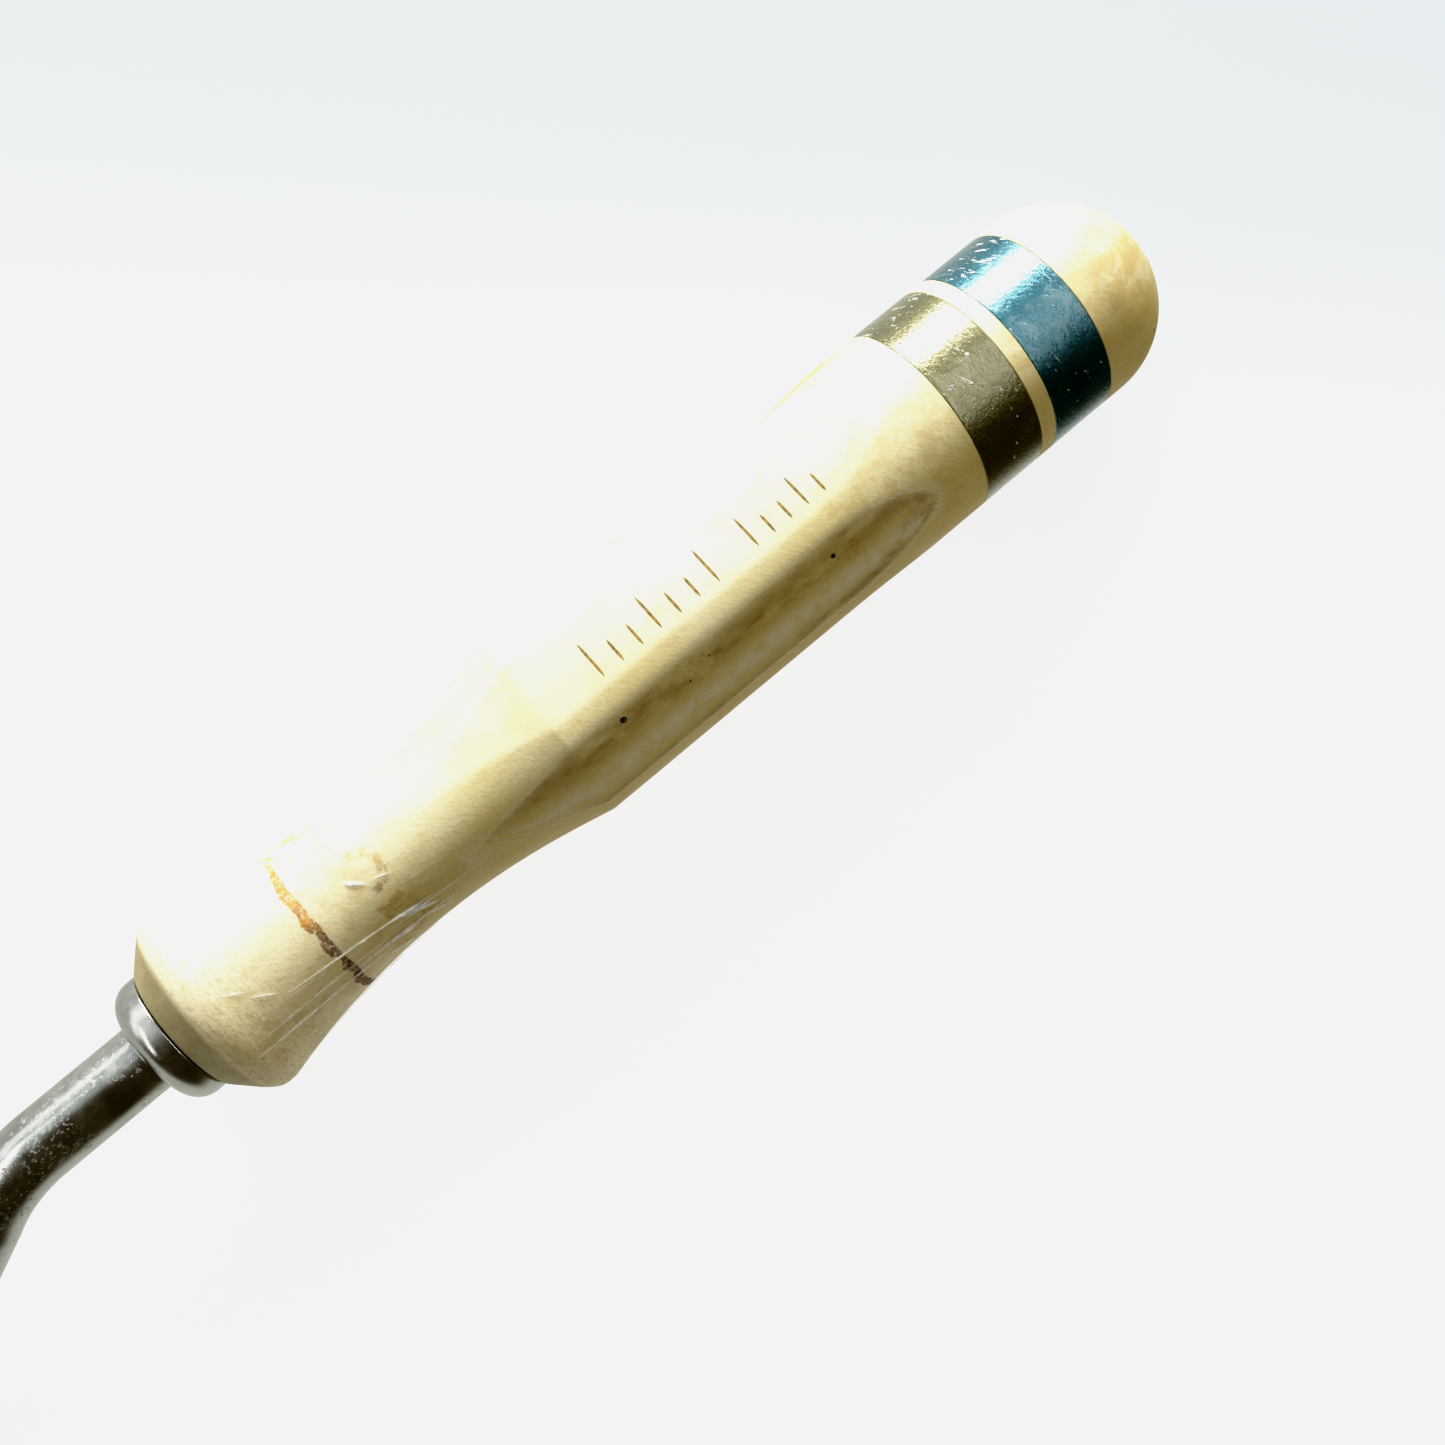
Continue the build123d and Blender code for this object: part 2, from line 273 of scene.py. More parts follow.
def flat_depth(back):
    """How far the middle of a flat lies under the round surface; below zero there is no flat."""
    fading = 1 - (KNEE_BACK - back) / FLAT_FADE
    in_neck = FLAT_DEPTH * np.where(fading > 0, np.abs(fading) ** 1.5, fading)
    scoop = (back - (FLATS_END_BACK - FLAT_RUNOUT)) / FLAT_RUNOUT
    rear = FLAT_DEPTH * (1 - np.maximum(scoop, 0) ** 2)
    return np.minimum(np.minimum(in_neck, rear), FLAT_DEPTH)


def flats_radius(back, angle):
    """Radius of the ring of flats, each a little crowned."""
    step = radians(FLAT_STEP)
    off = (angle - radians(FIRST_FLAT) + step / 2) % step - step / 2
    middle = blank_radius(back) - flat_depth(back)
    side = middle * np.tan(off)
    half = sqrt(2 * BUTT_RADIUS * FLAT_DEPTH)
    crown = (half ** 2 - side ** 2) / (2 * FLAT_CROWN_RADIUS)
    crown = crown * np.clip(flat_depth(back) / FLAT_DEPTH, 0, 1)
    return (middle + crown) / np.cos(off)


def unevenness(back, angle):
    """How far the hand-finished surface lies under its highest."""
    return SURFACE_WAVE * (1 + waves(back, angle, 14, 5, 30, 6))


def handle_radius(back, angle):
    """Radius of the finished handle ahead of the dome."""
    blank = blank_radius(back, angle) + 0.0 * angle     # as many columns as there are angles
    cut = smooth_min(blank, flats_radius(back, angle), EDGE_WEAR)
    whole = np.where(back > KNEE_BACK - FLAT_FADE - 2, cut, blank)
    return whole - unevenness(back, angle)


def handle_stations():
    """Distances behind the origin of the rows ahead of the dome, closer at edges."""
    rows = list(np.arange(FACE_BACK + 0.12, BUTT_BACK, ROW_STEP))
    for edge in (BEVEL_BACK, KNEE_BACK):
        rows += list(edge + np.linspace(-0.28, 0.28, 9))
    for front, rear in ((BRONZE_FRONT, BRONZE_REAR), (TEAL_FRONT, TEAL_REAR)):
        rows = [row for row in rows if not front - GROOVE_EDGE < row < rear + GROOVE_EDGE]
    return sorted(rows)


def handle():
    """Bone-coloured handle with its bore, flats, band grooves and dome."""
    angle = round_angles(HANDLE_COLUMNS)
    rings = [around(back, radius, angle) for back, radius in (
        (BORE_BACK, BORE_RADIUS),
        (SPIGOT_BACK + SPIGOT_CLEARANCE, BORE_RADIUS),
        (SPIGOT_BACK + SPIGOT_CLEARANCE, SPIGOT_HOLE_RADIUS),
        (FACE_BACK, SPIGOT_HOLE_RADIUS),
        (FACE_BACK, FACE_RADIUS - 0.12),
        (FACE_BACK + 0.03, FACE_RADIUS - 0.03),
    )]
    floor = BUTT_RADIUS - BAND_DEPTH
    grooves = [(BRONZE_FRONT, BRONZE_REAR), (TEAL_FRONT, TEAL_REAR)]
    for back in handle_stations():
        while grooves and back > grooves[0][0]:
            front, rear = grooves.pop(0)
            top_front, top_rear = handle_radius(front, angle), handle_radius(rear, angle)
            rings += [around(place, radius, angle) for place, radius in (
                (front - GROOVE_EDGE, top_front), (front, top_front - GROOVE_EDGE), (front, floor),
                (rear, floor), (rear, top_rear - GROOVE_EDGE), (rear + GROOVE_EDGE, top_rear))]
        rings.append(around(back, handle_radius(back, angle), angle))
    dome_rows = 44
    for row in range(dome_rows):
        turn = pi / 2 * row / dome_rows
        back = BUTT_BACK + (APEX_BACK - BUTT_BACK) * sin(turn)
        radius = handle_radius(BUTT_BACK, angle) * cos(turn)
        radius = radius - unevenness(back, angle) * sin(2 * turn) / 2
        rings.append(around(back, radius, angle))
    return skin("handle", np.array(rings), first_pole=(-BORE_BACK, 0, 0), last_pole=(-APEX_BACK, 0, 0))


# =====================================================================
# Turned rings: coloured bands and collar
# =====================================================================
def corner(back, radius, start, size):
    """Rounded corner of a turned outline: a quarter circle from the direction start, in degrees."""
    steps = 5
    turns = [radians(start + 90 * step / steps) for step in range(steps + 1)]
    return [(back + size * cos(turn), radius + size * sin(turn)) for turn in turns]


def turned(name, outline, columns, wave, seed):
    """Ring turned from a closed outline of (back, radius) points."""
    angle = round_angles(columns)
    rings = []
    for back, radius in outline:
        uneven = wave * (waves(back, angle, 16, seed, 9, 1.6) - 1)
        rings.append(around(back, radius + uneven, angle))
    return skin(name, np.array(rings), closed=True)


def band_ring(name, front, rear, seed):
    """Lacquered ring in its groove, with softly rounded edges and an uneven face."""
    edge = 0.09
    gap = 0.015
    front, rear = front + gap, rear - gap
    outline = corner(rear - edge, BUTT_RADIUS - edge, 0, edge)
    outline += [(back, BUTT_RADIUS) for back in np.linspace(rear - 2 * edge, front + 2 * edge, 24)]
    outline += corner(front + edge, BUTT_RADIUS - edge, 90, edge)
    outline += [(front, BUTT_RADIUS - BAND_DEPTH), (rear, BUTT_RADIUS - BAND_DEPTH)]
    return turned(name, outline[::-1], HANDLE_COLUMNS, wave=0.012, seed=seed)


def collar():
    """Steel collar: rounded nose, plain rim and the spigot behind it."""
    inner = SEAT_RADIUS + SEAT_CLEARANCE
    rim_edge = 0.16
    hole_edge = 0.1
    outline = [(hole_edge * (1 - sin(t)), inner + hole_edge * (1 - cos(t)))
               for t in np.linspace(0, pi / 2, 4)]
    nose_centre = (COLLAR_NOSE, COLLAR_RADIUS - COLLAR_NOSE)
    for turn in np.linspace(0, pi / 2, 22):
        outline.append((nose_centre[0] - COLLAR_NOSE * cos(turn),
                        nose_centre[1] + COLLAR_NOSE * sin(turn)))
    outline += [(back, COLLAR_RADIUS)
                for back in np.linspace(COLLAR_NOSE + 0.1, COLLAR_RIM - rim_edge, 6)]
    outline += [(COLLAR_RIM - rim_edge + rim_edge * sin(t), COLLAR_RADIUS - rim_edge * (1 - cos(t)))
                for t in np.linspace(0.2, pi / 2, 5)]
    outline += [(COLLAR_RIM, SPIGOT_RADIUS), (SPIGOT_BACK, SPIGOT_RADIUS), (SPIGOT_BACK, inner)]
    return turned("collar", outline, 240, wave=0.006, seed=11)


# =====================================================================
# Shank and blade
# =====================================================================
def shank_line():
    """Stations along the forging: (place in the bends' plane, heading, share of a named stretch)."""
    stations = []

    def straight(start, heading, length, count, name):
        for step in range(count):
            share = step / count
            place = (start[0] + cos(heading) * length * share, start[1] + sin(heading) * length * share)
            stations.append((place, heading, name, share))
        return start[0] + cos(heading) * length, start[1] + sin(heading) * length

    def bend(start, heading, angle, radius, count, name):
        side = 1 if angle > 0 else -1
        centre = (start[0] - sin(heading) * radius * side, start[1] + cos(heading) * radius * side)
        for step in range(count + 1):
            now = heading + radians(angle) * step / count
            place = (centre[0] + sin(now) * radius * side, centre[1] - cos(now) * radius * side)
            if step < count:
                stations.append((place, now, name, step / count))
        return place, now

    end = straight((-TANG_BACK, 0.0), 0.0, TANG_POINT, 2, "point")
    end = straight(end, 0.0, TANG_BACK - TANG_POINT - SPIGOT_BACK, 2, "tang")
    stations.append(((-SPIGOT_BACK, 0.0), 0.0, "tang", 1.0))
    straight((-SPIGOT_BACK, 0.0), 0.0, SPIGOT_BACK, 3, "seat")
    stations.append(((-0.001, 0.0), 0.0, "seat", 1.0))
    for share in (0.0, 0.3, 0.7, 1.0):
        stations.append(((SHOULDER_ROUND * share, 0.0), 0.0, "shoulder", share))
    end = straight((SHOULDER_ROUND, 0.0), 0.0, SHANK_STRAIGHT - SHOULDER_ROUND, 24, "shank")
    end, heading = bend(end, 0.0, FIRST_BEND, FIRST_BEND_RADIUS, 26, "shank")
    end = straight(end, heading, REACH, 36, "reach")
    end, heading = bend(end, heading, -SECOND_BEND, SECOND_BEND_RADIUS, 30, "wrist")
    tip_rows = 60
    for step in range(tip_rows):
        share = sin(pi / 2 * step / tip_rows)
        place = (end[0] + cos(heading) * BLADE_LENGTH * share,
                 end[1] + sin(heading) * BLADE_LENGTH * share)
        stations.append((place, heading, "blade", share))
    tip = (end[0] + cos(heading) * BLADE_LENGTH * 0.9999,
           end[1] + sin(heading) * BLADE_LENGTH * 0.9999)
    return stations, tip


def shank_section(name, share, turn):
    """Half sizes across and through the forging round one section."""
    if name == "blade":
        return blade_section(share, turn)
    radius = SHANK_RADIUS
    if name in ("point", "tang"):
        side = TANG_SIDE
        if name == "point":
            side = TANG_POINT_SIDE + (TANG_SIDE - TANG_POINT_SIDE) * share
        radius = side / 2 / np.maximum(np.abs(np.cos(turn)), np.abs(np.sin(turn)))
    elif name == "seat":
        radius = SEAT_RADIUS
    elif name == "shoulder":
        radius = SHANK_RADIUS - SHOULDER_ROUND * (1 - sqrt(max(0.0, 1 - (1 - share) ** 2)))
    elif name == "reach":
        radius = SHANK_RADIUS + (WRIST_RADIUS - SHANK_RADIUS) * share
    elif name == "wrist":
        radius = WRIST_RADIUS
    return radius * np.cos(turn), radius * np.sin(turn)


def blade_section(share, turn):
    """Section of the blade: an ellipse that flattens, hollowed on one face, narrowing at the tip."""
    half = BLADE_WIDTH / 2
    width = np.interp(share, (0.0, 0.35, 0.7, 1.0), (WRIST_RADIUS, half * 0.96, half, half))
    thick = np.interp(share, (0.0, 0.35, 0.7, 1.0),
                      (WRIST_RADIUS, BLADE_THICKNESS * 0.625, BLADE_THICKNESS / 2, TIP_THICKNESS / 2))
    past = max(0.0, share * BLADE_LENGTH - (BLADE_LENGTH - half)) / half
    plan = sqrt(max(0.0, 1 - past ** 2))
    across = np.minimum(width, half * plan) * np.cos(turn)
    through = thick * (0.35 + 0.65 * plan) * np.sin(turn)
    tip_floor = TIP_THICKNESS / 2 - HOLLOW_DEPTH
    rise = BLADE_THICKNESS / 2 - tip_floor
    floor = tip_floor + rise * (1 - share) / HOLLOW_RUN
    below = HOLLOW_RADIUS ** 2 - np.minimum(across ** 2, HOLLOW_RADIUS ** 2)
    hollow = floor + HOLLOW_RADIUS - np.sqrt(below)
    lowest = -thick * (0.35 + 0.65 * plan) + 0.25 * plan
    return across, np.where(through > 0, np.minimum(through, np.maximum(hollow, lowest)), through)


def shank():
    """One forging from the tang's point to the blade's rounded tip."""
    columns = 120
    turn = round_angles(columns) + pi / 4
    sideways = np.array([0.0, cos(radians(ROLL)), -sin(radians(ROLL))])
    forward = np.array([1.0, 0.0, 0.0])
    across_way = np.cross(forward, sideways)
    stations, tip = shank_line()
    rings = []
    for place, heading, name, share in stations:
        across, through = shank_section(name, share, turn)
        face = forward * sin(heading) - sideways * cos(heading)
        middle = forward * place[0] + sideways * place[1]
        rings.append(middle + np.outer(across, across_way) + np.outer(through, face))
    start = (-TANG_BACK, 0, 0)
    end = forward * tip[0] + sideways * tip[1]
    return skin("shank", np.array(rings), first_pole=start, last_pole=end, sharp=32)


# =====================================================================
# Clear film
# =====================================================================
FILM_COLUMNS, FILM_ROWS = 480, 150
FILM_LIFT = 0.035        # of the film's outside over the handle
FILM_SKIN = 0.02         # thickness of the film


def film_ridges(back, angle):
    """Height of the film's long diagonal pleats, from 0 to 1."""
    height = np.zeros(np.broadcast(back, angle).shape)
    pleats = [
        # back at the middle, angle, half length along the handle, drift in degrees per mm, width, height
        (13.0, 47.0, 7.5, 1.5, 0.9, 1.0),
        (14.5, 40.0, 8.5, 1.2, 0.7, 0.8),
        (18.5, 33.0, 9.0, 1.4, 0.8, 0.9),
        (12.5, 27.0, 5.5, 1.7, 0.6, 0.5),
        (21.5, 52.0, 7.0, 0.9, 0.8, 1.0),
        (24.5, 44.0, 5.5, 0.5, 0.8, 0.8),
        (26.0, 22.0, 4.0, 1.0, 0.6, 0.5),
        (20.5, 12.0, 5.0, 1.1, 0.5, 0.45),
        (13.0, -12.0, 4.5, 1.6, 0.5, 0.35),
        (17.0, 84.0, 8.0, 0.4, 1.0, 0.8),
        (15.0, 120.0, 7.5, -0.6, 1.0, 0.9),
        (19.0, 165.0, 8.0, 0.9, 0.9, 0.8),
        (16.0, -150.0, 7.0, -1.1, 0.9, 0.9),
        (20.0, -110.0, 7.0, 0.8, 0.8, 0.7),
        (14.0, -75.0, 6.0, 0.7, 0.8, 0.5),
    ]
    for middle, centre, half, drift, width, tall in pleats:
        line = radians(centre) + radians(drift) * (back - middle)
        off = (angle - line + pi) % (2 * pi) - pi
        run = np.clip(1 - ((back - middle) / half) ** 2, 0, 1)
        height = np.maximum(height, tall * run ** 0.8 * np.exp(-(off / radians(width)) ** 2))
    return height


def film_puckers(back, angle):
    """Short raised puckers where the film was drawn together."""
    height = np.zeros(np.broadcast(back, angle).shape)
    puckers = [
        # back, angle, half length in mm, half width in mm, tilt in degrees, height
        (9.2, 4.0, 1.1, 0.14, 34, 0.8),
        (10.6, 15.0, 1.2, 0.13, 38, 0.9),
        (8.9, -9.0, 0.9, 0.12, 30, 0.6),
        (20.8, -1.0, 1.1, 0.24, 42, 0.9),
        (22.7, 6.0, 1.0, 0.13, 20, 0.8),
        (22.4, 40.0, 1.3, 0.24, 14, 1.0),
        (23.6, 46.0, 1.2, 0.2, 20, 1.0),
        (21.2, 53.0, 1.4, 0.26, 10, 1.0),
        (20.3, 66.0, 1.5, 0.24, 22, 0.9),
        (24.4, 58.0, 1.2, 0.16, 24, 0.8),
        (8.6, 75.0, 1.0, 0.2, -50, 0.7),
        (22.0, 100.0, 1.4, 0.25, -12, 0.9),
        (21.0, 140.0, 1.2, 0.2, 30, 0.9),
        (23.0, 178.0, 1.3, 0.22, -20, 0.9),
        (22.0, -130.0, 1.2, 0.2, 15, 0.9),
        (10.0, -100.0, 1.1, 0.2, 55, 0.8),
    ]
    for middle, centre, half, wide, tilt, tall in puckers:
        radius = neck_radius(middle)
        side = ((angle - radians(centre) + pi) % (2 * pi) - pi) * radius
        along = (back - middle) * cos(radians(tilt)) + side * sin(radians(tilt))
        over = side * cos(radians(tilt)) - (back - middle) * sin(radians(tilt))
        height = np.maximum(height, tall * np.exp(-(along / half) ** 2 - (over / wide) ** 2))
    return height


def film():
    """Shrunk clear skin over the lip and the front of the neck, with pleats and puckers."""
    angle = round_angles(FILM_COLUMNS)
    edge = FILM_BACK - 0.9 + 0.45 * np.sin(3 * angle + 1) + 0.25 * np.sin(7 * angle)
    edge = edge + 0.12 * np.sin(19 * angle + 2)
    outer, inner, crease = [], [], []
    lift = FILM_LIFT + 0.02 * (1 + waves(BEVEL_BACK, angle, 8, 31, 9, 2))
    for share in np.linspace(0, 1, FILM_ROWS):
        back = BEVEL_BACK + 0.06 + (edge - BEVEL_BACK - 0.06) * share
        ridge = np.clip(film_ridges(back, angle) + film_puckers(back, angle), 0, 1.2)
        base = handle_radius(back, angle)
        raised = base + lift + 0.16 * ridge
        inside = np.minimum(raised - FILM_SKIN, base + lift * 0.4 + 0.14 * ridge)
        outer.append(around(back, raised, angle))
        inner.append(around(back, inside, angle))
        crease.append(ridge)
    grid = np.array(outer + inner[::-1])
    piece = skin("film", grid, closed=True, sharp=80)
    store(piece, "crease", np.array(crease + crease[::-1]).ravel())
    return piece


# =====================================================================
# Engraved strokes
# =====================================================================
STROKE_WIDTH = 0.26
STROKE_DEPTH, STROKE_PROUD = 0.12, 0.006
SHORT_STROKE = 0.62        # share of a tall stroke
STROKE_MIDDLE = -13.0      # degrees round the handle
# Where the first stroke is, pitch, count and length
STROKE_GROUPS = [(45.5, 1.95, 7, 3.4), (61.4, 1.75, 5, 3.1)]


def strokes():
    """Two rows of plain engraved graduations along one flat, filled dark."""
    points, faces = [], []
    middle = radians(STROKE_MIDDLE)
    steps = 16
    for first, pitch, count, length in STROKE_GROUPS:
        for index in range(count):
            back = first + pitch * index
            tall = length if index % 3 == 0 else length * SHORT_STROKE
            radius = float(handle_radius(np.array(back), np.array(middle)))
            spread = length / radius
            low_turn = middle + spread / 2 - tall / radius
            for step in range(steps + 1):
                angle = low_turn + (tall / radius) * step / steps
                end_taper = min(1.0, 0.25 + 4.0 * min(step, steps - step) / steps)
                half = STROKE_WIDTH / 2 * end_taper
                for side, sunk in ((-half, 0.0), (half, 0.0),
                                   (half, STROKE_DEPTH), (-half, STROKE_DEPTH)):
                    here = float(handle_radius(np.array(back + side), np.array(angle)))
                    points.append(tuple(around(back + side, here + STROKE_PROUD - sunk, angle) * MM))
            start = len(points) - 4 * (steps + 1)
            for step in range(steps):
                a = start + 4 * step
                for corner_index in range(4):
                    b = (corner_index + 1) % 4
                    faces.append((a + corner_index, a + b, a + 4 + b, a + 4 + corner_index))
            faces.append((start + 3, start + 2, start + 1, start))
            last = start + 4 * steps
            faces.append((last, last + 1, last + 2, last + 3))
    return make_object("engraved_strokes", points, faces)


# =====================================================================
# Material tools
# =====================================================================
class Nodes:
    """A node tree with short ways to add what this object needs."""

    def __init__(self, tree):
        self.nodes, self.links = tree.nodes, tree.links

    def put(self, socket, value):
        """Links a socket to another, or sets it to a number or colour."""
        if isinstance(value, bpy.types.NodeSocket):
            self.links.new(value, socket)
        elif isinstance(value, tuple) and len(value) == 3 and len(socket.default_value) == 4:
            socket.default_value = (*value, 1.0)
        else:
            socket.default_value = value

    def maths(self, operation, first, second=None, third=None):
        node = self.nodes.new("ShaderNodeMath")
        node.operation = operation
        for socket, value in zip(node.inputs, (first, second, third)):
            if value is not None:
                self.put(socket, value)
        return node.outputs[0]

    def times(self, first, *others):
        """Product of two or more values."""
        for other in others:
            first = self.maths("MULTIPLY", first, other)
        return first

    def step(self, value, low, high, bottom=0.0, top=1.0):
        """Smooth step of a value from low to high."""
        node = self.nodes.new("ShaderNodeMapRange")
        node.interpolation_type = "SMOOTHSTEP"
        for socket, number in zip(node.inputs, (value, low, high, bottom, top)):
            self.put(socket, number)
        return node.outputs[0]

    def between(self, value, rise, fall):
        """1 between a rise and a fall of a value, each given by its start and end."""
        return self.times(self.step(value, *rise), self.step(value, *fall))

    def mix(self, share, first, second):
        node = self.nodes.new("ShaderNodeMix")
        node.data_type = "RGBA"
        self.put(node.inputs["Factor"], share)
        self.put(node.inputs[6], first)
        self.put(node.inputs[7], second)
        return node.outputs[2]


class Shading(Nodes):
    """A material's nodes, with the place on the object in millimetres and degrees."""

    def __init__(self, name):
        self.material = bpy.data.materials.new(name)
        self.material.use_nodes = True
        super().__init__(self.material.node_tree)
        self.shader = self.nodes["Principled BSDF"]
        coords = self.nodes.new("ShaderNodeTexCoord")
        scaled = self.nodes.new("ShaderNodeVectorMath")
        scaled.operation = "SCALE"
        scaled.inputs["Scale"].default_value = 1 / MM
        self.links.new(coords.outputs["Object"], scaled.inputs[0])
        self.place = scaled.outputs["Vector"]
        split = self.nodes.new("ShaderNodeSeparateXYZ")
        self.links.new(self.place, split.inputs[0])
        self.x, self.y, self.z = split.outputs
        self.back = self.times(self.x, -1.0)
        self.angle = self.times(self.maths("ARCTAN2", self.y, self.z), 180 / pi)

    def stretched(self, across, along, twist=0.0):
        """Object coordinates scaled along the handle and across it, optionally twisted round it."""
        place = self.place
        if twist:
            turned_place = self.nodes.new("ShaderNodeVectorRotate")
            turned_place.rotation_type = "X_AXIS"
            self.put(turned_place.inputs["Vector"], place)
            self.put(turned_place.inputs["Angle"], self.times(self.back, radians(twist)))
            place = turned_place.outputs["Vector"]
        scaled = self.nodes.new("ShaderNodeVectorMath")
        scaled.operation = "MULTIPLY"
        self.put(scaled.inputs[0], place)
        scaled.inputs[1].default_value = (along, across, across)
        return scaled.outputs["Vector"]

    def noise(self, scale, detail=3.0, rough=0.5, bend=0.0, vector=None):
        node = self.nodes.new("ShaderNodeTexNoise")
        self.put(node.inputs["Vector"], self.place if vector is None else vector)
        node.inputs["Scale"].default_value = scale
        node.inputs["Detail"].default_value = detail
        node.inputs["Roughness"].default_value = rough
        node.inputs["Distortion"].default_value = bend
        return node.outputs["Fac"]

    def distance(self, back, angle, radius):
        """How far a point of the surface is from a point of the handle."""
        node = self.nodes.new("ShaderNodeVectorMath")
        node.operation = "DISTANCE"
        self.put(node.inputs[0], self.place)
        centre = around(back, radius, radians(angle))
        node.inputs[1].default_value = tuple(float(c) for c in centre)
        return node.outputs["Value"]

    def spot(self, back, angle, radius, size):
        """1 inside a round spot on the surface, 0 outside, with a soft edge."""
        return self.step(self.distance(back, angle, radius), size * 1.3, size * 0.7)

    def attribute(self, name):
        node = self.nodes.new("ShaderNodeAttribute")
        node.attribute_name = name
        return node.outputs["Fac"]

    def bump(self, height, strength, distance, under=None):
        """Normal from a height in millimetres."""
        node = self.nodes.new("ShaderNodeBump")
        node.inputs["Strength"].default_value = strength
        node.inputs["Distance"].default_value = distance * MM
        self.put(node.inputs["Height"], height)
        if under is not None:
            self.put(node.inputs["Normal"], under)
        return node.outputs["Normal"]

    def set(self, **values):
        """Sets sockets of the main shader by their names, with _ for a space."""
        for name, value in values.items():
            self.put(self.shader.inputs[name.replace("_", " ")], value)
        return self.material


# =====================================================================
# Materials
# =====================================================================
# Plastic
BONE = (0.78, 0.665, 0.335)
BONE_PALE = (0.82, 0.735, 0.43)
BONE_YELLOW = (0.66, 0.50, 0.20)
DOME_TAN = (0.58, 0.42, 0.15)
DOME_FLECK = (0.88, 0.84, 0.68)
FRONT_GREY = (0.72, 0.66, 0.47)
FRONT_TAN = (0.45, 0.33, 0.13)
REAR_TAN = (0.54, 0.40, 0.14)
GRAIN = (0.55, 0.44, 0.20)
FIBRE = (0.36, 0.26, 0.09)
# Wear and dirt, with painted shade, sheen and highlight
# painted shade: olive-yellow for the shaded +Y side of the handle
SHADE_SIDE_OLIVE = (0.56, 0.43, 0.125)
# grime and painted shade for the bevel beside the collar
BEVEL_GRIME_AND_SHADE = (0.30, 0.25, 0.11)
SOIL = (0.55, 0.44, 0.21)
RUST = (0.27, 0.15, 0.02)
# painted sheen in the middle of the shaded flats
PAINTED_FLAT_SHEEN = (0.68, 0.62, 0.41)
# wear and painted highlight along the flats' edges
WORN_EDGE_AND_HIGHLIGHT = (0.86, 0.80, 0.60)
YELLOW_SCUFF = (0.64, 0.43, 0.01)
SCRATCH = (0.92, 0.88, 0.72)
SPECK = (0.02, 0.018, 0.01)
# Stains, with lit and shaded copies of the ring stain's colour
# lit copy of the ring stain's colour
STAIN_LIT_ORANGE = (0.58, 0.25, 0.004)
STAIN_BROWN = (0.24, 0.095, 0.006)
# shaded copy of the ring stain's colour
STAIN_SHADED_DARK = (0.07, 0.026, 0.002)
# dirt and painted shade along the flats' edges
OLIVE_DIRT_AND_SHADE = (0.30, 0.20, 0.035)
SMEAR = (0.46, 0.31, 0.07)
RING_STAIN_BACK = 16.35
ARCH_STAIN_RADIUS = 1.7


def rear_colour(s, colour, patches):
    """Yellowing towards the rear, with mottling and pale flecks on the dome."""
    dome = s.step(s.back, 93, 101)
    yellowed = s.maths("ADD", s.times(s.step(s.back, 58, 78), 0.07), s.times(dome, 0.05))
    share = s.step(s.maths("ADD", patches, yellowed), 0.50, 0.76, 0.0, 0.55)
    colour = s.mix(share, colour, BONE_YELLOW)
    mottle = s.step(s.noise(0.32, 6, 0.68, 0.6), 0.45, 0.57, 0.0, 0.95)
    colour = s.mix(s.times(mottle, dome, s.step(s.angle, -45, 5)), colour, DOME_TAN)
    flecks = s.step(s.noise(0.55, 6, 0.7, 0.8), 0.56, 0.66, 0.0, 0.55)
    return s.mix(s.times(flecks, dome), colour, DOME_FLECK)


def front_colour(s, colour, patches):
    """Greyer front with tan mottling, painted warm shade on the +Y side, and grime with painted shade on
    the bevel.
    """
    colour = s.mix(s.step(s.back, 26, 14, 0.0, 0.45), colour, FRONT_GREY)
    tan = s.step(s.noise(0.6, 6, 0.72, 0.5), 0.47, 0.60, 0.0, 0.5)
    tan = s.times(tan, s.step(s.back, 24, 12), s.step(s.angle, -30, 30))
    colour = s.mix(tan, colour, FRONT_TAN)
    # painted shade: the +Y side, away from the key light, is tinted olive-yellow, more so behind the
    # neck
    shade_side_tint = s.times(s.between(s.angle, (4, 40), (150, 100)), s.step(s.back, 12, 26, 0.25, 0.78))
    colour = s.mix(shade_side_tint, colour, SHADE_SIDE_OLIVE)
    # grime and painted shade: the bevel ahead of the lip, against the collar, is darkened all over, in
    # patches
    bevel = s.step(s.back, BEVEL_BACK + 0.05, BEVEL_BACK - 0.5)
    return s.mix(s.times(bevel, s.step(patches, 0.3, 0.6, 0.7, 0.95)), colour, BEVEL_GRIME_AND_SHADE)


def fine_colour(s, colour, grain, fibre):
    """Fine soiling, tan mottling ahead of the bands, grain, and fibre that shows most in front."""
    soil = s.step(s.noise(1.9, 6, 0.75), 0.52, 0.68, 0.0, 0.35)
    colour = s.mix(soil, colour, SOIL)
    zone = s.times(s.step(s.back, 62, 70), s.between(s.angle, (-20, 0), (100, 60)))
    tan = s.step(s.noise(0.5, 6, 0.72, 0.15), 0.46, 0.62, 0.0, 0.5)
    colour = s.mix(s.times(tan, zone), colour, REAR_TAN)
    colour = s.mix(s.step(grain, 0.35, 0.72, 0.0, 0.3), colour, GRAIN)
    strength = s.maths("MULTIPLY_ADD", s.step(s.back, 14, 8), 0.42, 0.10)
    return s.mix(s.times(s.step(fibre, 0.48, 0.66), strength), colour, FIBRE)


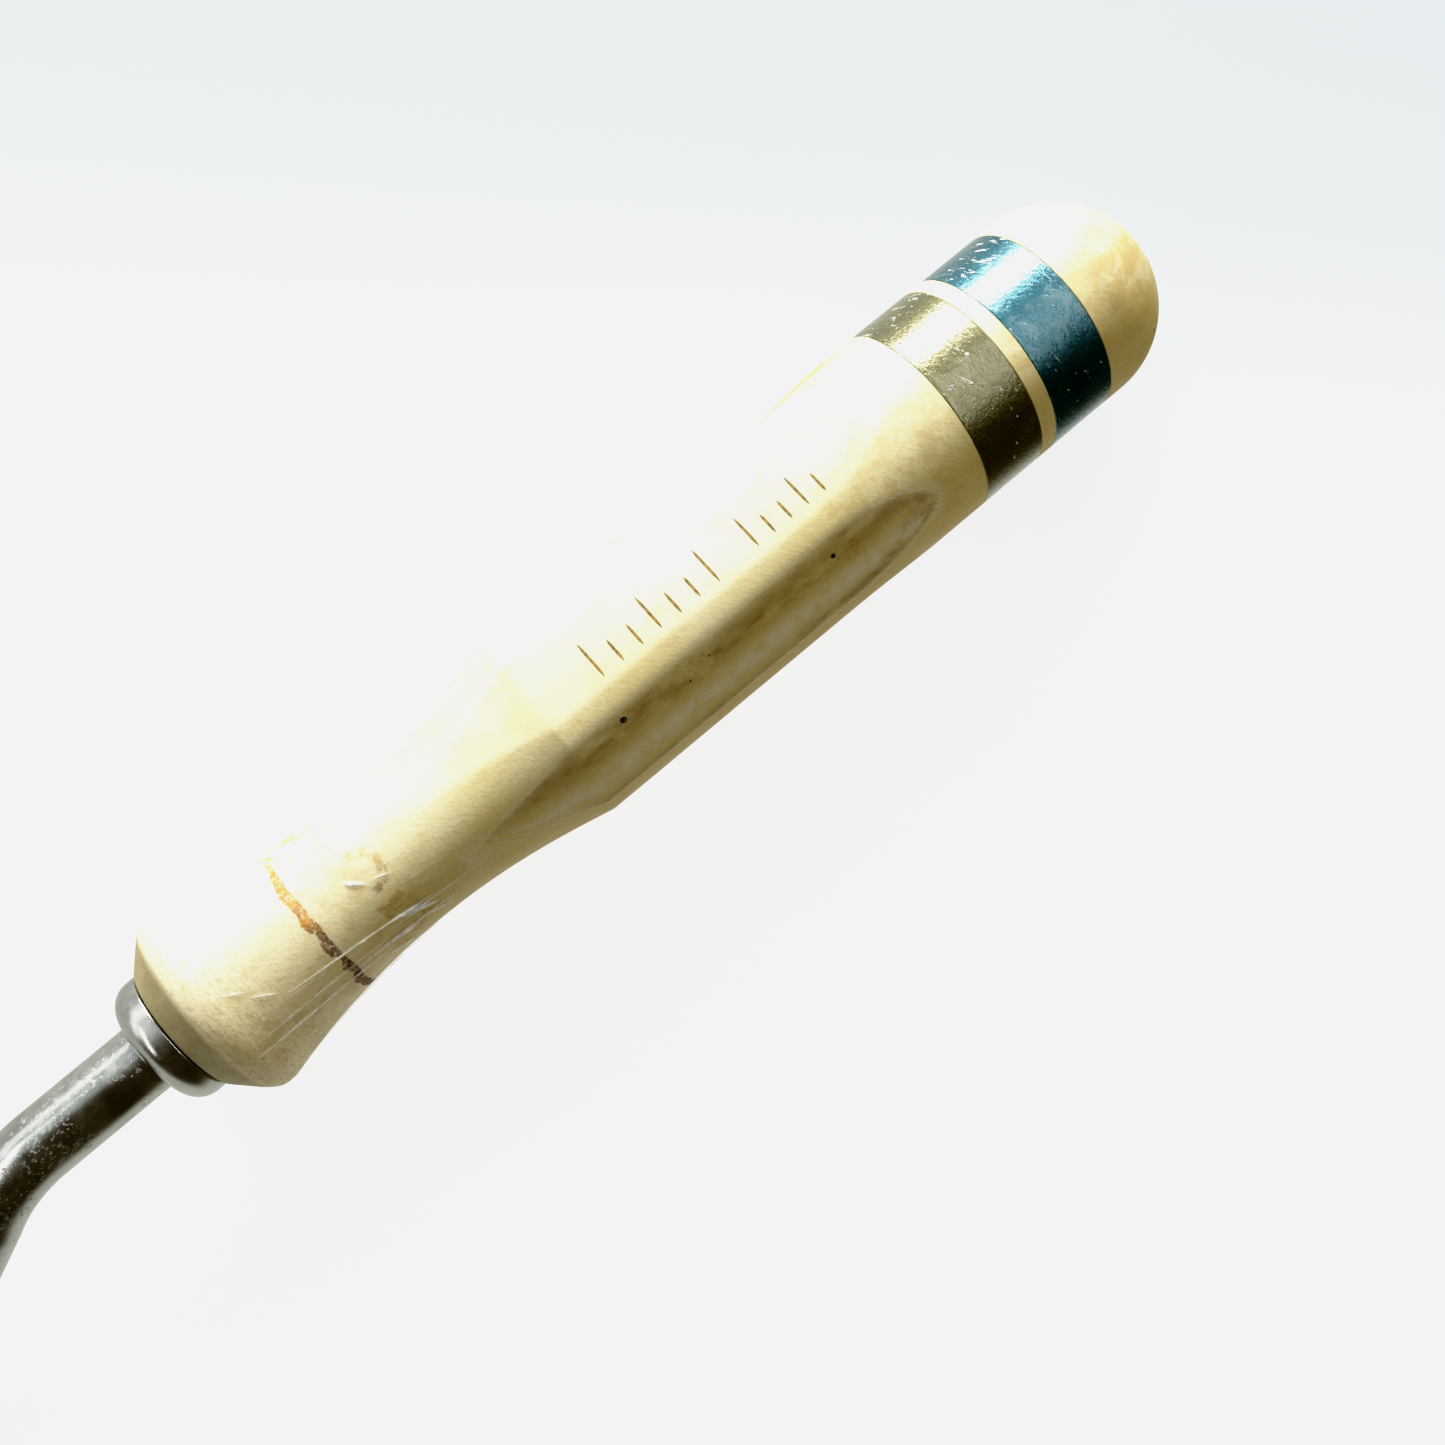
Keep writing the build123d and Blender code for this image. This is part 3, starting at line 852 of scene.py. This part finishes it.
def flat_colour(s, colour, grain, dirt):
    """Dirt, rust and painted shade along the flats, painted sheen in their middles, and edge wear with
    painted highlight.
    """
    # dirt and painted shade: olive along the edges of the flats, strongest on the shaded +Y side
    colour = s.mix(s.times(dirt, 0.9), colour, OLIVE_DIRT_AND_SHADE)
    rust = s.step(s.noise(1.0, 5, 0.7, vector=s.stretched(0.9, 0.4)), 0.50, 0.62, 0.0, 0.6)
    colour = s.mix(s.times(dirt, rust), colour, RUST)
    # painted sheen: paler in the middle of the flats on the shaded side
    pale = s.step(s.noise(0.8, 6, 0.7), 0.36, 0.58, 0.25, 0.85)
    colour = s.mix(s.times(s.attribute("flat_sheen"), pale), colour, PAINTED_FLAT_SHEEN)
    # wear and painted highlight: paler along the edges of the flats
    worn_and_lit = s.times(s.attribute("flat_edge"), s.step(grain, 0.3, 0.7, 0.05, 0.4))
    colour = s.mix(worn_and_lit, colour, WORN_EDGE_AND_HIGHLIGHT)
    return s.mix(s.attribute("yellow_line"), colour, YELLOW_SCUFF)


def bone():
    """Yellowed phenolic plastic with its wear, dirt and stains, and painted shade, sheen and highlight.
    """
    s = Shading("bone_plastic")
    broad = s.noise(0.10, 4, 0.55)
    patches = s.noise(1.0, 5, 0.6, 0.4, vector=s.stretched(0.44, 0.24))
    grain = s.noise(1.0, 6, 0.65, vector=s.stretched(3.2, 1.1, 6))
    fibre = s.noise(1.0, 4, 0.65, 0.5, vector=s.stretched(1.1, 6.0, 1.5))
    # dirt with painted shade along the flats' edges, broken into patches
    dirt = s.times(s.attribute("flat_dirt_and_shade"), s.step(patches, 0.34, 0.54, 0.35, 1.0))
    colour = s.mix(s.step(broad, 0.38, 0.62), BONE, BONE_PALE)
    colour = rear_colour(s, colour, patches)
    colour = front_colour(s, colour, patches)
    colour = fine_colour(s, colour, grain, fibre)
    colour = flat_colour(s, colour, grain, dirt)

    stain, smear = stains(s)
    colour = s.mix(smear, colour, SMEAR)
    # painted light and shade: the ring stain is orange on the lit -Y side and dark brown on the shaded
    # +Y side
    brown = s.mix(s.step(s.angle, -8, 14), STAIN_LIT_ORANGE, STAIN_SHADED_DARK)
    brown = s.mix(s.step(s.noise(1.6, 3, 0.6), 0.40, 0.60, 0.0, 0.6), brown, STAIN_BROWN)
    colour = s.mix(stain, colour, brown)
    pits = specks(s)
    colour = s.mix(pits, colour, SPECK)
    scratch = s.step(s.noise(1.0, 2, 0.5, vector=s.stretched(16, 0.12, 2)), 0.70, 0.74)
    colour = s.mix(s.times(scratch, 0.35), colour, SCRATCH)

    rough = s.maths("ADD", s.step(patches, 0.3, 0.7, 0.50, 0.60), s.times(dirt, 0.1))
    rough = s.maths("MULTIPLY_ADD", stain, 0.35, rough)
    normal = s.bump(s.maths("ADD", s.times(grain, 0.5), s.times(fibre, 0.5)), 0.7, 0.06)
    normal = s.bump(s.times(pits, -1.0), 0.8, 0.12, normal)
    return s.set(Base_Color=colour, Roughness=rough, Normal=normal, Subsurface_Weight=0.06,
                 Subsurface_Scale=0.0012, Subsurface_Radius=(1.0, 0.6, 0.3), IOR=1.5,
                 Specular_IOR_Level=1.0)


def unevenly_off(s, value, middle, scale, height):
    """How far a value, made uneven by noise, is off a middle."""
    uneven = s.times(s.maths("SUBTRACT", s.noise(scale, 3, 0.6), 0.5), height)
    return s.maths("ABSOLUTE", s.maths("SUBTRACT", s.maths("ADD", value, uneven), middle))


def stains(s):
    """Brown ring, arch and flecks left on the neck, and the paler smears behind them."""
    off = unevenly_off(s, s.back, RING_STAIN_BACK, 0.45, 1.3)
    width = s.step(s.noise(0.9, 2, 0.5), 0.3, 0.7, 0.26, 0.52)
    ring = s.times(s.step(s.maths("DIVIDE", off, width), 1.15, 0.8),
                   s.step(s.noise(1.9, 5, 0.75, 0.6), 0.36, 0.48),
                   s.step(s.angle, -62, -50),
                   s.step(s.noise(3.0, 3, 0.6), 0.25, 0.6, 0.72, 1.0))
    arch_off = unevenly_off(s, s.distance(21.6, -3.0, 6.5), ARCH_STAIN_RADIUS, 0.8, 1.4)
    arch = s.times(s.step(arch_off, 0.5, 0.15), s.step(s.back, 20.9, 22.0),
                   s.step(s.noise(1.5, 4, 0.65), 0.42, 0.58, 0.0, 0.6))
    flecks = s.step(s.noise(1.0, 4, 0.7, vector=s.stretched(1.8, 0.8, 9)), 0.54, 0.60, 0.0, 0.8)
    flecks = s.times(flecks, s.between(s.angle, (-84, -74), (-50, -60)),
                     s.between(s.back, (14.8, 16.4), (24.0, 22.0)))
    smear = s.times(s.between(s.back, (18.4, 20.6), (24.6, 22.6)),
                    s.between(s.angle, (8, 24), (74, 56)),
                    s.step(s.noise(0.5, 5, 0.65, 0.7), 0.47, 0.60), 0.85)
    halo = s.times(s.between(s.back, (15.4, 17.6), (26.0, 19.0)),
                   s.step(s.noise(0.6, 4, 0.6), 0.45, 0.65, 0.0, 0.35))
    stain = s.maths("MAXIMUM", s.maths("MAXIMUM", ring, flecks), arch)
    return stain, s.maths("MAXIMUM", smear, halo)


def specks(s):
    """Small dark pits on the handle."""
    places = [(44.5, 22.7, 0.30), (65.8, 27.6, 0.22), (50.6, 31.0, 0.10), (53.0, 26.0, 0.09),
              (33.0, 118.0, 0.20), (70.0, 150.0, 0.22), (58.0, -128.0, 0.18), (83.5, 70.0, 0.1),
              (100.5, 55.0, 0.16), (36.5, -160.0, 0.16), (48.0, 100.0, 0.14)]
    total = None
    for back, angle, size in places:
        radius = float(handle_radius(np.array(min(back, BUTT_BACK)), np.array(radians(angle))))
        if back > BUTT_BACK:
            radius *= sqrt(1 - ((back - BUTT_BACK) / (APEX_BACK - BUTT_BACK)) ** 2)
        mark = s.spot(back, angle, radius, size)
        total = mark if total is None else s.maths("MAXIMUM", total, mark)
    return s.times(total, s.step(s.noise(5.0, 2, 0.5), 0.3, 0.45))


BRONZE, BRONZE_GLINT = (0.185, 0.172, 0.075), (0.25, 0.235, 0.105)
TEAL, TEAL_GLINT = (0.018, 0.135, 0.175), (0.06, 0.21, 0.245)
SCUFFED, CHIPPED = (0.60, 0.62, 0.56), (0.82, 0.80, 0.68)


def lacquer(name, colour, glint, chip_angle, chip_seed):
    """Glossy metallic lacquer with a fine orange-peel face, scuffs and chips down to the bone."""
    s = Shading(name)
    peel = s.noise(1.0, 4, 0.6, vector=s.stretched(2.6, 4.2))
    fine = s.noise(9.0, 3, 0.6)
    scuff = s.noise(0.55, 5, 0.7, 0.6)
    scuff_zone = s.between(s.angle, (-22, -6), (22, 8))
    scuffs = s.times(s.step(s.maths("ADD", scuff, s.times(scuff_zone, 0.12)), 0.58, 0.72),
                     s.step(fine, 0.42, 0.62, 0.3, 1.0))
    shade = s.mix(s.step(scuff, 0.35, 0.65, 0.0, 0.5), colour, glint)
    shade = s.mix(s.times(scuffs, 0.2), shade, SCUFFED)
    scratches = s.step(s.noise(1.0, 2, 0.5, vector=s.stretched(7.0, 0.9, chip_seed)), 0.69, 0.73)
    chips_noise = s.noise(0.9, 5, 0.72, 0.8, vector=s.stretched(1.0, 1.4, 3 + chip_seed))
    chip_zone = s.between(s.angle, (chip_angle - 16, chip_angle - 4),
                          (chip_angle + 22, chip_angle + 6))
    chips = s.step(s.maths("ADD", chips_noise, s.times(chip_zone, 0.07)), 0.66, 0.68)
    scratches = s.times(scratches, s.step(scuff, 0.45, 0.6), s.step(s.angle, 12, -4))
    bare = s.maths("MAXIMUM", chips, scratches)
    shade = s.mix(bare, shade, CHIPPED)
    metal = s.times(s.maths("SUBTRACT", 1.0, bare), 0.85)
    rough = s.maths("ADD", s.step(peel, 0.3, 0.7, 0.26, 0.34), s.times(scuffs, 0.2))
    normal = s.bump(s.maths("ADD", peel, s.times(fine, 0.08)), 0.6, 0.085)
    normal = s.bump(s.times(bare, -1.0), 0.4, 0.015, normal)
    return s.set(Base_Color=shade, Metallic=metal, Roughness=rough, Normal=normal, Coat_Weight=1.0,
                 Coat_Roughness=0.2, Coat_IOR=1.8, Coat_Normal=normal)


STEEL, STEEL_PALE = (0.44, 0.455, 0.435), (0.55, 0.56, 0.53)
STEEL_LINE, STEEL_PIT = (0.30, 0.30, 0.28), (0.16, 0.14, 0.11)


def steel(name, pitted):
    """Satin steel with drawn lines, dull patches and small pits."""
    s = Shading(name)
    cloud = s.noise(0.35, 5, 0.6)
    drawn = s.noise(1.0, 3, 0.6, vector=s.stretched(10.0, 0.7))
    pits_noise = s.noise(2.8, 5, 0.75)
    pit_zone = s.step(s.noise(0.22, 3, 0.5), 0.46, 0.62)
    pits = s.times(s.step(pits_noise, 0.56, 0.66), s.times(pit_zone, pitted))
    colour = s.mix(s.step(cloud, 0.35, 0.65), STEEL, STEEL_PALE)
    colour = s.mix(s.step(drawn, 0.4, 0.7, 0.0, 0.25), colour, STEEL_LINE)
    colour = s.mix(s.times(pits, 0.6), colour, STEEL_PIT)
    rough = s.maths("ADD", s.step(cloud, 0.3, 0.7, 0.20, 0.30), s.times(pits, 0.2))
    height = s.maths("ADD", s.times(drawn, 0.3), s.times(pits, -1.0))
    normal = s.bump(height, 0.5, 0.026)
    return s.set(Base_Color=colour, Metallic=1.0, Roughness=rough, Normal=normal)


def resin():
    """Dark cured resin in the gap under the collar."""
    s = Shading("dark_resin")
    cloud = s.noise(1.6, 4, 0.6)
    colour = s.mix(s.step(cloud, 0.35, 0.65), (0.035, 0.028, 0.018), (0.10, 0.075, 0.04))
    rough = s.step(cloud, 0.3, 0.7, 0.45, 0.65)
    return s.set(Base_Color=colour, Roughness=rough, Normal=s.bump(cloud, 0.5, 0.04))


def engraving():
    """Brown dirt that fills the engraved strokes."""
    s = Shading("engraving_fill")
    uneven = s.noise(2.2, 4, 0.65)
    colour = s.mix(s.step(uneven, 0.35, 0.65), (0.11, 0.068, 0.015), (0.27, 0.18, 0.05))
    return s.set(Base_Color=colour, Roughness=s.step(uneven, 0.3, 0.7, 0.5, 0.7),
                 Normal=s.bump(uneven, 0.5, 0.03))


def clear_skin():
    """Clear film: nearly all see-through, white along its creases, partly creasing and partly painted
    glint, and painted glints in fine lines.
    """
    s = Shading("clear_film")
    crease = s.attribute("crease")
    haze = s.noise(0.5, 5, 0.65, 0.5)
    lines = s.step(s.noise(1.0, 2, 0.5, vector=s.stretched(6.0, 0.22, 1.4)), 0.66, 0.72)
    broken = s.step(s.noise(1.4, 4, 0.6), 0.32, 0.60, 0.35, 1.0)
    # creasing and painted glint: whiter, more opaque film along the creases
    alpha = s.times(s.step(crease, 0.22, 0.85), s.times(broken, 0.68))
    # painted glints: fine white lines on the film
    alpha = s.maths("MAXIMUM", alpha, s.times(lines, 0.28))
    alpha = s.maths("ADD", alpha, s.step(haze, 0.45, 0.75, 0.015, 0.07))
    wrinkle = s.noise(1.0, 4, 0.6, vector=s.stretched(1.6, 0.7, 5))
    return s.set(Base_Color=s.mix(haze, (0.88, 0.86, 0.76), (0.96, 0.95, 0.90)), Alpha=alpha,
                 Roughness=s.step(haze, 0.3, 0.7, 0.08, 0.2), Normal=s.bump(wrinkle, 0.6, 0.12))


# =====================================================================
# Assembly
# =====================================================================
LOW_FLAT = 38.5            # middle of the flat on the shaded +Y side, from which the flats' dirt, painted shade and sheen are placed, in degrees
YELLOW_LINE = 75.5         # of a long yellow scuff, in degrees towards -Y


def mark_flats(piece):
    """Stores where the flats' edges with their wear and painted highlight are, where dirt and painted
    shade lie along them, and where painted sheen lies in their middles.
    """
    count = len(piece.data.vertices)
    place = np.zeros(count * 3, np.float32)
    piece.data.vertices.foreach_get("co", place)
    place = place.reshape(-1, 3).astype(float) / MM
    back = -place[:, 0]
    angle = np.arctan2(place[:, 1], place[:, 2])
    gap = flats_radius(back, angle) - blank_radius(back)
    there = (back > KNEE_BACK - FLAT_FADE) & (back < FLATS_END_BACK + 3)
    edge = np.where(there, np.exp(-(gap / 0.10) ** 2), 0.0)
    inside = np.where(there & (gap < 0), np.exp(-((gap + 0.13) / 0.13) ** 2), 0.0)
    local = (np.degrees(angle) - LOW_FLAT + 30) % 60 - 30
    # painted shade: a dark band along each flat's upper edge and a thin dark line near its lower edge;
    # dirt in the hollows near their rear ends
    upper = np.exp(-((local + 13) / 9) ** 2)
    lower = 0.7 * np.exp(-((local - 22) / 3) ** 2)
    rear = np.clip((back - 56) / 14, 0, 1)
    # painted shade and sheen grow towards the shaded +Y side
    shaded_side = np.clip(0.15 + 1.3 * np.sin(angle), 0.08, 1)
    dirt = np.maximum(np.maximum(upper, lower), inside * rear)
    dirt = np.where(there & (gap < -0.02), dirt, 0.0) * shaded_side
    # painted sheen: a paler stripe in the middle of each flat, on the shaded side
    pale = np.where(there & (gap < -0.1), np.exp(-((local - 8) / 7) ** 2), 0.0) * shaded_side
    line_width = np.interp(back, (68, 75), (1.0, 4.0))
    line = np.exp(-((np.degrees(angle) + YELLOW_LINE) / line_width) ** 2)
    line = line * np.clip((79 - back) / 3, 0, 1)
    line = np.where(back > KNEE_BACK - 2, line, 0.0) * np.interp(back, (66, 73), (0.5, 1.0))
    store(piece, "flat_edge", edge)
    store(piece, "flat_dirt_and_shade", dirt)
    store(piece, "flat_sheen", pale)
    store(piece, "yellow_line", line)


def build_object():
    """Every visible piece, with its material and body."""
    body = handle()
    mark_flats(body)
    finish_piece(body, bone(), "handle_plastic", "handle_body")
    bronze = band_ring("bronze_ring", BRONZE_FRONT, BRONZE_REAR, 3)
    bronze_look = lacquer("bronze_lacquer", BRONZE, BRONZE_GLINT, -68, 4)
    finish_piece(bronze, bronze_look, "bronze_lacquer", "bronze_band")
    teal = band_ring("teal_ring", TEAL_FRONT, TEAL_REAR, 4)
    teal_look = lacquer("teal_lacquer", TEAL, TEAL_GLINT, -58, 7)
    finish_piece(teal, teal_look, "teal_lacquer", "teal_band")
    finish_piece(collar(), steel("collar_steel", 0.2), "collar_steel", "ferrule")
    finish_piece(shank(), steel("shank_steel", 1.0), "shank_steel", "shank_blade")
    finish_piece(film(), clear_skin(), "film", "clear_film")
    finish_piece(strokes(), engraving(), "handle_plastic")
    resin_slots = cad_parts["tang_resin"].data.materials
    resin_slots.clear()
    resin_slots.append(resin())


# =====================================================================
# Studio
# =====================================================================
def place_camera():
    """Camera at the photograph's angle."""
    data = bpy.data.cameras.new("camera")
    data.lens = CAMERA_LENS
    data.sensor_width = 36.0
    data.clip_start = 0.005
    camera = bpy.data.objects.new("camera", data)
    bpy.context.scene.collection.objects.link(camera)
    sight = CAMERA_AIM - CAMERA_PLACE
    level = sight.to_track_quat("-Z", "Y")
    camera.rotation_mode = "QUATERNION"
    camera.location = CAMERA_PLACE
    camera.rotation_quaternion = level @ Quaternion((0, 0, 1), radians(CAMERA_ROLL))
    bpy.context.scene.camera = camera


LIGHT_DISTANCE = 330
LIGHT_AIM = Vector((-50.0, 0, 0))
LIGHTS = [
    # name, tilt, shift along X, width, length, radiance, colour, whether it lights matt surfaces
    ("key", -66, -130.0, 130, 420, 19.0, (1.0, 0.99, 0.97), True),
    ("strip", 10, -180.0, 26, 330, 9.0, (1.0, 1.0, 1.0), True),
    ("blade_strip", -25, 290.0, 30, 340, 8.5, (0.97, 0.99, 1.0), False),
    ("panel", -62, 270.0, 130, 340, 1.25, (1.0, 0.99, 0.95), False),
]


def softbox(name, tilt, shift, wide, long, radiance, colour, matt):
    """Area light at a tilt from straight up, towards -Y if below zero, aimed at the handle."""
    data = bpy.data.lights.new(name, "AREA")
    data.shape = "RECTANGLE"
    data.size, data.size_y = long * MM, wide * MM
    data.energy = radiance * pi * data.size * data.size_y
    data.color = colour
    lamp = bpy.data.objects.new(name, data)
    turn = radians(tilt)
    way = Vector((shift, sin(turn) * LIGHT_DISTANCE, cos(turn) * LIGHT_DISTANCE)) * MM
    lamp.location = LIGHT_AIM * MM + way
    lamp.rotation_mode = "QUATERNION"
    lamp.rotation_quaternion = (-way).to_track_quat("-Z", "Y")
    lamp.visible_diffuse = matt
    bpy.context.scene.collection.objects.link(lamp)


FLOOR_HALF = 2.0      # metres


def light_table():
    """Pale floor under the object, evenly lit like a light table, a little blue far from it."""
    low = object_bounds()[0].z
    half = FLOOR_HALF
    corners = [(-half, -half, low), (half, -half, low), (half, half, low), (-half, half, low)]
    mesh = bpy.data.meshes.new("floor")
    mesh.from_pydata(corners, [], [(0, 1, 2, 3)])
    floor = bpy.data.objects.new("floor", mesh)
    bpy.context.scene.collection.objects.link(floor)
    s = Shading("pale_table")
    rise = s.maths("ADD", s.times(s.x, -0.647), s.times(s.y, -0.763))
    cool = s.step(rise, 30, 95)
    glow = s.mix(cool, (1.0, 1.0, 1.0), (0.74, 0.81, 0.83))
    s.set(Base_Color=s.mix(cool, (0.12, 0.12, 0.12), (0.06, 0.065, 0.07)), Roughness=0.9,
          Emission_Color=glow, Emission_Strength=0.92)
    floor.data.materials.append(s.material)
    floor.visible_glossy = False


ROOM_DARK, ROOM_LIGHT, ROOM_BELOW = (0.085, 0.066, 0.034), (0.58, 0.60, 0.60), (0.70, 0.71, 0.64)


def room():
    """Soft light from the -Y side and overhead, a dim warm room on the +Y side, the table below."""
    world = bpy.data.worlds.new("room")
    bpy.context.scene.world = world
    world.use_nodes = True
    w = Nodes(world.node_tree)
    coords = w.nodes.new("ShaderNodeTexCoord")
    split = w.nodes.new("ShaderNodeSeparateXYZ")
    w.put(split.inputs[0], coords.outputs["Generated"])
    x, y, z = split.outputs
    side = w.step(w.maths("MULTIPLY_ADD", x, 0.5, y), 0.03, -0.25)
    below = w.step(w.maths("MULTIPLY_ADD", x, 0.7, w.times(z, -1.0)), 0.22, 0.6)
    colour = w.mix(below, w.mix(side, ROOM_DARK, ROOM_LIGHT), ROOM_BELOW)
    w.put(w.nodes["Background"].inputs["Color"], colour)


def tone():
    """Plain display tone whose whites stop a little short of full, as pale paper prints."""
    settings = bpy.context.scene.view_settings
    settings.view_transform = "Standard"
    settings.use_curve_mapping = True
    curve = settings.curve_mapping
    curve.extend = "HORIZONTAL"
    points = curve.curves[3].points
    points[0].location = (0.0, 0.0)
    points[1].location = (1.0, 0.896)
    for place in ((0.03, 0.004), (0.08, 0.04), (0.18, 0.145), (0.35, 0.335), (0.6, 0.615), (0.8, 0.80)):
        points.new(*place)
    curve.update()


place_camera()
build_object()
light_table()
room()
for light in LIGHTS:
    softbox(*light)
tone()
